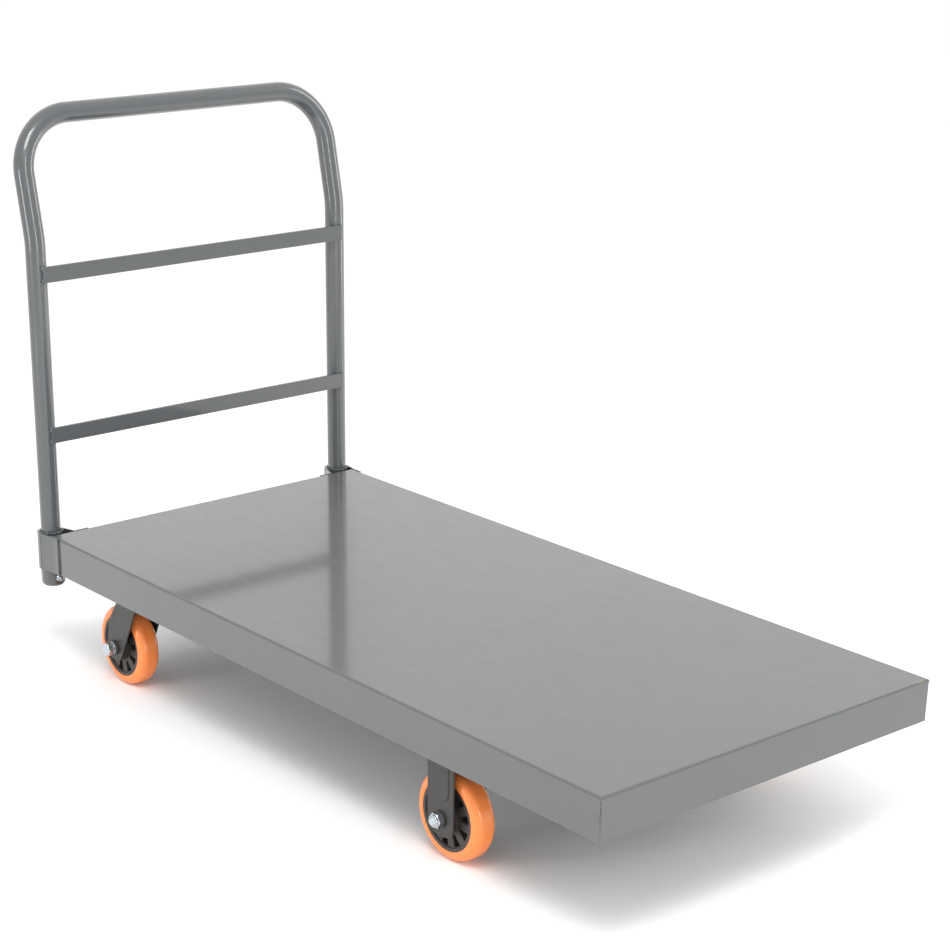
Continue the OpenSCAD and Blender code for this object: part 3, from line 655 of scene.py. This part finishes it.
# Mounting bolts: heads under the plates, lock nuts on the channels
mount = {"size": 8, "insetX": 12.5, "insetY": 10, "plateL": 105, "plateW": 80, "plateT": 4}
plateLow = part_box("left_swivel_plate")[1].z - mount["plateT"] * mm
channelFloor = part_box("caster_nuts")[0].z
headsUp, nutsUp = [], []
for kind in ("swivel", "rigid"):
    for side, s in sides.items():
        centre = middle(f"{side}_{kind}_" + ("plate" if kind == "swivel" else "bracket"))
        for dx in (-1, 1):
            for dy in (-1, 1):
                x = centre.x + dx * (mount["plateL"] / 2 - mount["insetX"]) * mm
                y = centre.y + dy * (mount["plateW"] / 2 - mount["insetY"]) * mm
                headsUp.append(Matrix.Translation((x, y, plateLow)) @ Matrix.Rotation(math.pi, 4, "X"))
                nutsUp.append(Matrix.Translation((x, y, channelFloor)))
length = (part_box("caster_bolts")[1].z - plateLow) / mm
newPiece("casterBolts", joined([(hexBolt(mount["size"], 0, -length, -6, 36), headsUp)]), zincPlate,
         ["caster_bolts"])
newPiece("casterNuts", joined([(hexNut(mount["size"], 6.4, 36, lock=True), nutsUp)]), zincPlate,
         ["caster_nuts"])
print("caster mountings made")


# Fork of a swivel caster: two raked legs that bend into a round crown
fork = {"inside": 25, "sheet": 3, "topHalf": 26, "tip": 22, "knee": (-54, 106), "trail": 40, "bend": 7,
        "crown": 33,
        "crownT": 4, "edge": 0.8}


def leg(outer, inner, faces):
    bm = bmesh.new()
    for y in (inner, outer):
        for radius, x, z in faces:
            if radius:
                spot = Matrix.Translation((x * mm, y * mm, z * mm)) @ Matrix.Rotation(math.radians(90), 4,
                        "X")
                bmesh.ops.create_circle(bm, cap_ends=False, radius=radius * mm, segments=96, matrix=spot)
            else:
                bm.verts.new((x * mm, y * mm, z * mm))
    made = bmesh.ops.convex_hull(bm, input=bm.verts)
    spare = {g for key in ("geom_interior", "geom_unused") for g in made[key]
             if isinstance(g, bmesh.types.BMVert)}
    bmesh.ops.delete(bm, geom=list(spare), context="VERTS")
    loose = [e for e in bm.edges if not e.link_faces]
    bmesh.ops.delete(bm, geom=loose, context="EDGES")
    bmesh.ops.dissolve_limit(bm, angle_limit=math.radians(0.5), verts=bm.verts, edges=bm.edges)
    bmesh.ops.recalc_face_normals(bm, faces=bm.faces)
    return bm


def bendTop(bm, outer, top, radius):
    lines = [e for e in bm.edges if all(abs(v.co.z - top * mm) < 1e-6 and abs(v.co.y - outer * mm) < 1e-6
                                        for v in e.verts)]
    bmesh.ops.bevel(bm, geom=lines, offset=radius * mm, offset_type="OFFSET", segments=6, profile=0.5,
                    affect="EDGES",
                    clamp_overlap=False, material=-1)


for side, s in sides.items():
    node = f"{side}_swivel_fork"
    low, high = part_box(node)
    axis = middle(f"{side}_swivel_seal")
    top = high.z / mm
    axleZ = middle(f"{side}_swivel_tread").z / mm
    outer = fork["inside"] + fork["sheet"]
    outline = ((0, -fork["topHalf"], top), (0, fork["topHalf"], top), (0, *fork["knee"]),
               (fork["tip"], -fork["trail"], axleZ))
    parts = []
    for out in (-1, 1):
        bm = leg(out * outer, out * fork["inside"], outline)
        bendTop(bm, out * outer, top, fork["bend"])
        soften(bm, fork["edge"] * mm, 3, 40)
        parts.append((bm, [Matrix()]))
    ringT = fork["crownT"]
    crown = turned(eased([(6.1, top), (fork["crown"], top), (fork["crown"], top - ringT),
                          (6.1, top - ringT)], 1.4, 4, closed=True), 96, closed=True)
    parts.append((crown, [Matrix()]))
    bridge = bmesh.new()
    box = Matrix.Diagonal((2 * fork["topHalf"] * mm, 2 * (fork["inside"] + 1) * mm, ringT * 0.9 * mm, 1))
    bmesh.ops.create_cube(bridge, size=1, matrix=Matrix.Translation((0, 0, (top - ringT / 2) * mm)) @ box)
    soften(bridge, 0.5 * mm)
    parts.append((bridge, [Matrix()]))
    bm = joined(parts)
    bmesh.ops.transform(bm, matrix=Matrix.Translation((axis.x, axis.y, 0)), verts=bm.verts)
    newPiece(f"{side}SwivelFork", bm, forkPaint, [node])
print("swivel forks made")

# Bracket of a rigid caster: a plate with two straight legs, each with a pressed rib
bracket = {"width": 52, "corner": 18, "inside": 25, "sheet": 3, "rib": 1.2, "ribWidth": 34.6,
           "ribLow": 87.5, "bend": 6,
           "edge": 0.9, "plateCorner": 5}


def roundedBlock(low, high, cornerRadius, steps):
    bm = bmesh.new()
    low, high = Vector(low) * mm, Vector(high) * mm
    bmesh.ops.create_cube(bm, size=1,
                          matrix=Matrix.Translation((low + high) / 2) @ Matrix.Diagonal(high - low).to_4x4())
    lines = [e for e in bm.edges if all(v.co.z < low.z + 1e-7 for v in e.verts)
             and abs((e.verts[0].co - e.verts[1].co).y) > 1e-7]
    bmesh.ops.bevel(bm, geom=lines, offset=cornerRadius * mm, offset_type="OFFSET", segments=steps,
                    profile=0.5,
                    affect="EDGES", clamp_overlap=False, material=-1)
    return bm


for side, s in sides.items():
    node = f"{side}_rigid_bracket"
    low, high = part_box(node)
    centre = middle(node)
    bottom, top = low.z / mm, high.z / mm
    under = top - mount["plateT"]
    parts = []
    for out in (-1, 1):
        near, far = sorted((out * bracket["inside"], out * (bracket["inside"] + bracket["sheet"])))
        half = bracket["width"] / 2
        bm = roundedBlock((-half, near, bottom), (half, far, under), bracket["corner"], 10)
        bendTop(bm, out * (bracket["inside"] + bracket["sheet"]), under, bracket["bend"])
        soften(bm, bracket["edge"] * mm, 3, 40)
        parts.append((bm, [Matrix()]))
        face = out * (bracket["inside"] + bracket["sheet"])
        near, far = sorted((face - out * 1.5, face + out * bracket["rib"]))
        half = bracket["ribWidth"] / 2
        bm = roundedBlock((-half, near, bracket["ribLow"]), (half, far, under - bracket["bend"] - 1),
                          half - 0.1, 12)
        outerEdges = [e for e in bm.edges
                      if all(abs(v.co.y - (face + out * bracket["rib"]) * mm) < 1e-6 for v in e.verts)]
        bmesh.ops.bevel(bm, geom=outerEdges, offset=bracket["rib"] * 0.95 * mm, offset_type="OFFSET",
                        segments=4, profile=0.5,
                        affect="EDGES", clamp_overlap=False, material=-1)
        parts.append((bm, [Matrix()]))
    for w, d, low, high, radius in ((mount["plateL"], mount["plateW"], under, top, bracket["plateCorner"]),
                                    (bracket["width"], 2 * bracket["inside"] + 2, under - 4, under + 0.5, 1)):
        bm = bmesh.new()
        shape = Matrix.Diagonal((w * mm, d * mm, (high - low) * mm, 1))
        bmesh.ops.create_cube(bm, size=1, matrix=Matrix.Translation((0, 0, (low + high) / 2 * mm)) @ shape)
        uprights = [e for e in bm.edges if abs(e.verts[0].co.z - e.verts[1].co.z) > 1e-6]
        bmesh.ops.bevel(bm, geom=uprights, offset=radius * mm, offset_type="OFFSET", segments=5,
                        profile=0.5, affect="EDGES",
                        clamp_overlap=False, material=-1)
        soften(bm, 0.5 * mm, 2, 50)
        parts.append((bm, [Matrix()]))
    bm = joined(parts)
    bmesh.ops.transform(bm, matrix=Matrix.Translation((centre.x, centre.y, 0)), verts=bm.verts)
    newPiece(f"{side}RigidBracket", bm, forkPaint, [node])
print("rigid brackets made")

# Wheel core: hub, web and rim in one moulding, with ten lipped pockets in each face
core = {"radius": 48.5, "rimInner": 43, "rimHigh": 17, "faceHigh": 15, "hub": 22, "hubHigh": 24, "bore": 12,
        "seat": 16,
        "seatHigh": 14, "pockets": 10, "columns": 12, "pocketIn": 25.4, "pocketOut": 42.3, "inHalf": 7.0,
        "outHalf": 10.2,
        "corner": 2.6, "lip": 0.3, "lipHigh": 0.35, "depth": 11}


def pocketedCore():
    c = core
    outline = [(c["bore"], 0), (c["bore"], c["seatHigh"]), (c["seat"], c["seatHigh"]),
               (c["seat"], c["hubHigh"]),
               (c["hub"], c["hubHigh"]), (c["hub"], c["faceHigh"])]
    face = [(r, c["faceHigh"]) for r in (c["pocketIn"], (c["pocketIn"] + c["pocketOut"]) / 2, c["pocketOut"])]
    rim = [(c["rimInner"], c["faceHigh"]), (c["rimInner"] + 0.4, c["rimHigh"]), (c["radius"], c["rimHigh"]),
           (c["radius"], 0)]
    points = eased(outline, 0.8, 3) + face + eased([(c["pocketOut"] + 0.4, c["faceHigh"])] + rim, 0.8, 3)
    bm = turned(points, c["pockets"] * c["columns"])
    if sum(f.normal.z for f in bm.faces if f.calc_center_median().z > 10 * mm) < 0:
        bmesh.ops.reverse_faces(bm, faces=bm.faces)
    period = math.tau / c["pockets"]
    step = period / c["columns"]
    plain = 3 * step                                   # half of a pocket's six columns
    flat = [v for v in bm.verts if abs(v.co.z - c["faceHigh"] * mm) < 1e-6
            and c["pocketIn"] - 1 < v.co.xy.length / mm < c["pocketOut"] + 0.2]
    for vert in flat:
        reach = vert.co.xy.length
        angle = math.atan2(vert.co.y, vert.co.x)
        off = (angle + period / 2) % period - period / 2
        t = (reach / mm - c["pocketIn"]) / (c["pocketOut"] - c["pocketIn"])
        edge = math.radians(c["inHalf"] + (c["outHalf"] - c["inHalf"]) * t)
        if abs(off) <= plain + 1e-5:
            moved = off * edge / plain
        else:
            moved = math.copysign(edge + (abs(off) - plain) * (period / 2 - edge) / (period / 2 - plain), off)
        spin = angle - off + moved
        vert.co.xy = Vector((math.cos(spin), math.sin(spin))) * reach
    pockets = []
    for k in range(c["pockets"]):
        inside = []
        for f in bm.faces:
            centre = f.calc_center_median()
            off = (math.atan2(centre.y, centre.x) - k * period + math.pi) % math.tau - math.pi
            if (abs(centre.z - c["faceHigh"] * mm) < 1e-6 and abs(off) < plain * 0.99
                    and c["pocketIn"] < centre.xy.length / mm < c["pocketOut"]):
                t = (centre.xy.length / mm - c["pocketIn"]) / (c["pocketOut"] - c["pocketIn"])
                if abs(off) < math.radians(c["inHalf"] + (c["outHalf"] - c["inHalf"]) * t):
                    inside.append(f)
        pockets += bmesh.ops.dissolve_faces(bm, faces=inside, use_verts=False)["region"]
    corners = []
    for f in pockets:
        for loop in f.loops:
            if loop.calc_angle() < math.radians(130):
                corners.append(loop.vert)
    bmesh.ops.bevel(bm, geom=corners, offset=c["corner"] * mm, offset_type="OFFSET", segments=4, profile=0.5,
                    affect="VERTICES", clamp_overlap=False, material=-1)
    pockets = [f for f in bm.faces if len(f.verts) > 12
               and abs(f.calc_center_median().z - c["faceHigh"] * mm) < 1e-6
               and c["pocketIn"] < f.calc_center_median().xy.length / mm < c["pocketOut"]]
    bmesh.ops.inset_individual(bm, faces=pockets, thickness=0.2 * mm, depth=c["lipHigh"] * mm,
                               use_even_offset=True)
    bmesh.ops.inset_individual(bm, faces=pockets, thickness=c["lip"] * mm, depth=0, use_even_offset=True)
    bmesh.ops.inset_individual(bm, faces=pockets, thickness=0.15 * mm, depth=-0.3 * mm, use_even_offset=True)
    bmesh.ops.inset_individual(bm, faces=pockets, thickness=0.1 * mm, depth=-c["depth"] * mm,
                               use_even_offset=True)
    whole = bm.verts[:] + bm.edges[:] + bm.faces[:]
    bmesh.ops.mirror(bm, geom=whole, axis="Z", merge_dist=0.001 * mm)
    bmesh.ops.recalc_face_normals(bm, faces=bm.faces)
    return bm, len(pockets)


# Tread: cast round the core, with large round shoulders beside a narrow running face
tread = {"radius": 63.5, "half": 17.5, "inner": 48.5, "shoulder": 12, "shoulderSteps": 12, "steps": 144}
wheel = {"washer": 12, "washerT": 2.5, "collar": 9, "collarHigh": 6, "axle": 12, "nut": 10, "past": 3,
         "sleeve": 7.5,
         "spacer": 10.5, "bearing": 16, "bearingW": 9, "bearingHigh": 23, "legOut": 28}

for side, s in sides.items():
    for kind in ("swivel", "rigid"):
        prefix, label = f"{side}_{kind}_", side + kind.capitalize()
        centre = middle(prefix + "tread")
        place = axleFrame(centre, s)
        bm, found = pocketedCore()
        bmesh.ops.transform(bm, matrix=place @ Matrix.Rotation(math.radians(11), 4, "Z"), verts=bm.verts)
        newPiece(label + "Core", bm, coreNylon, [prefix + "core"], sharp=38)

        half, bend = tread["half"], tread["shoulder"]
        low = [(tread["inner"], -half + 0.6), (tread["inner"] + 0.8, -half)]
        for k in range(tread["shoulderSteps"] + 1):
            a = math.radians(90 * k / tread["shoulderSteps"])
            low.append((tread["radius"] - bend + bend * math.sin(a), bend - half - bend * math.cos(a)))
        high = [(r, -z) for r, z in reversed(low)]
        bm = turned(low + high, tread["steps"], closed=True)
        bmesh.ops.transform(bm, matrix=place, verts=bm.verts)
        newPiece(label + "Tread", bm, treadUrethane, [prefix + "tread"], sharp=50)

        seat = wheel["legOut"] + wheel["washerT"]
        swivelling = kind == "swivel"
        boltFrame = axleFrame(centre, s if swivelling else -s)
        collar = (wheel["collar"], seat, 3) if swivelling else None
        bolt = hexBolt(wheel["axle"], seat + (wheel["collarHigh"] if swivelling else 0),
                       -seat - wheel["nut"] - wheel["past"], -seat + 2, 72, collar)
        bmesh.ops.transform(bolt, matrix=boltFrame, verts=bolt.verts)
        newPiece(label + "Bolt", bolt, zincPlate, [prefix + "bolt"])
        nut = hexNut(wheel["axle"], wheel["nut"], 72, lock=True)
        bmesh.ops.transform(nut, matrix=axleFrame(centre, -s if swivelling else s)
                            @ Matrix.Translation((0, 0, seat * mm)), verts=nut.verts)
        newPiece(label + "Nut", nut, zincPlate, [prefix + "nut"])

        ends = [axleFrame(centre, 1), axleFrame(centre, -1)]
        washer = turned(eased([(6.1, wheel["legOut"]), (wheel["washer"], wheel["legOut"]),
                               (wheel["washer"], seat), (6.1, seat)], 1, 3, closed=True), 72, closed=True)
        newPiece(label + "OuterWashers", joined([(washer, ends)]), forkPaint, [],
                 body=nodes[prefix + "washers"]["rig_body"])
        high, inner = fork["inside"], wheel["sleeve"]
        spacer = turned(eased([(inner, wheel["bearingHigh"] + 0.3),
                               (wheel["spacer"], wheel["bearingHigh"] + 0.3), (wheel["spacer"], high),
                               (inner, high)], 0.3, 2, closed=True), 48, closed=True)
        newPiece(label + "Spacers", joined([(spacer, ends)]), zincPlate, [prefix + "washers"])
        sleeve = turned(eased([(6.25, -high), (inner, -high), (inner, high), (6.25, high)], 0.3, 2,
                              closed=True), 48, closed=True)
        bmesh.ops.transform(sleeve, matrix=place, verts=sleeve.verts)
        newPiece(label + "Sleeve", sleeve, zincPlate, [prefix + "sleeve"])
        low, top, rOut, rIn = (wheel["bearingHigh"] - wheel["bearingW"], wheel["bearingHigh"],
                               wheel["bearing"], inner + 0.05)
        race = [(rIn, low), (rOut, low), (rOut, top), (rOut - 2, top), (rOut - 2, top - 0.5),
                (rIn + 2, top - 0.5), (rIn + 2, top), (rIn, top)]
        bearing = turned(eased(race, 0.3, 2, closed=True), 64, closed=True)
        newPiece(label + "Bearings", joined([(bearing, ends)]), bearingSteel,
                 [prefix + "bearings"])
print("wheels made, pockets in each core face:", found)

# What is still shown of the CAD model gets its real finish
for name, node in nodes.items():
    if not node.hide_render:
        finish = {"balls": bearingSteel, "seal": sealRubber}.get(name.split("_")[-1], zincPlate)
        for slot in node.material_slots:
            slot.material = finish
        if not node.material_slots:
            node.data.materials.append(finish)
        print("kept from the CAD model:", name)

# Floor: matt white paper, a little uneven in tone
floorLook = {"size": 60, "white": "#f7f7f7", "shade": "#f3f3f3", "cloud": 900}
paper, place = startMaterial("mattStudioPaper")
cloud = addNode(paper, "ShaderNodeTexNoise", {"Scale": 1 / (floorLook["cloud"] * mm), "Detail": 2.0},
                {"Vector": place})
colour = addNode(paper, "ShaderNodeMix",
                 {"data_type": "RGBA", 6: linear(floorLook["white"]), 7: linear(floorLook["shade"])},
                 {0: cloud.outputs[0]})
endMaterial(paper, {"Roughness": 0.9, "Specular IOR Level": 0.1}, {"Base Color": colour.outputs[2]})
bm = bmesh.new()
bmesh.ops.create_grid(bm, x_segments=2, y_segments=2, size=floorLook["size"] / 2)
mesh = bpy.data.meshes.new("studioFloor")
bm.to_mesh(mesh)
bm.free()
mesh.materials.append(paper)
floor = bpy.data.objects.new("studioFloor", mesh)
scene.collection.objects.link(floor)

# Soft studio light: a pale surround, brighter overhead, one large overhead box on the
# camera's side, tall narrow boxes that draw the stripes down the tubes, and a low one
# on the left for the edges of the forks
sky = {"horizon": 0.95, "zenith": 1.2}
world = bpy.data.worlds.new("studioSurround")
scene.world = world
world.use_nodes = True
world.node_tree.nodes.clear()
way = addNode(world, "ShaderNodeTexCoord").outputs["Generated"]
height = addNode(world, "ShaderNodeSeparateXYZ", None, {0: way})
bright = addNode(world, "ShaderNodeMapRange",
                 {"From Min": 0.15, "From Max": 0.9, "To Min": sky["horizon"], "To Max": sky["zenith"]},
                 {"Value": height.outputs["Z"]})
glow = addNode(world, "ShaderNodeBackground", {"Color": (1, 1, 1, 1)}, {"Strength": bright.outputs[0]})
addNode(world, "ShaderNodeOutputWorld", None, {"Surface": glow.outputs[0]})

lights = {"overheadBox": {"at": (1.3, -1.25, 3.1), "to": (0, 0, 0.3), "size": (1.2, 1.2), "power": 45},
          "tallBoxNear": {"at": (2.7, -0.75, 1.15), "to": (-0.6, 0, 0.7), "size": (0.22, 2.3), "power": 22},
          "lowBoxLeft": {"at": (-0.5, -2.6, 0.7), "to": (0.3, -0.3, 0.1), "size": (0.35, 1.0), "power": 10},
          "tallBoxFar": {"at": (0.5, 2.1, 1.15), "to": (-0.6, 0, 0.7), "size": (0.3, 2.3), "power": 18}}
for name, spec in lights.items():
    lamp = bpy.data.lights.new(name, "AREA")
    lamp.shape, lamp.energy = "RECTANGLE", spec["power"]
    lamp.size, lamp.size_y = spec["size"]
    holder = bpy.data.objects.new(name, lamp)
    holder.location = spec["at"]
    holder.rotation_mode = "QUATERNION"
    holder.rotation_quaternion = (Vector(spec["to"]) - Vector(spec["at"])).to_track_quat("-Z", "Y")
    holder.visible_camera = False
    scene.collection.objects.link(holder)

# Camera
view = {"at": (2.3779, -1.9674, 1.31295), "azimuth": 141.249, "down": 19.649, "focal": 2230.8,
        "picture": 950, "centre": (403.2, 593.1)}
lens = bpy.data.cameras.new("camera")
lens.sensor_width = 36
lens.lens = view["focal"] * lens.sensor_width / view["picture"]
lens.shift_x = (view["picture"] / 2 - view["centre"][0]) / view["picture"]
lens.shift_y = (view["centre"][1] - view["picture"] / 2) / view["picture"]
camera = bpy.data.objects.new("camera", lens)
camera.location = view["at"]
turn, down = math.radians(view["azimuth"]), math.radians(view["down"])
ahead = Vector((math.cos(down) * math.cos(turn), math.cos(down) * math.sin(turn), -math.sin(down)))
camera.rotation_mode = "QUATERNION"
camera.rotation_quaternion = ahead.to_track_quat("-Z", "Y")
scene.collection.objects.link(camera)
scene.camera = camera
scene.view_settings.view_transform = "Standard"
scene.view_settings.look = "None"
print("floor, light and camera set")
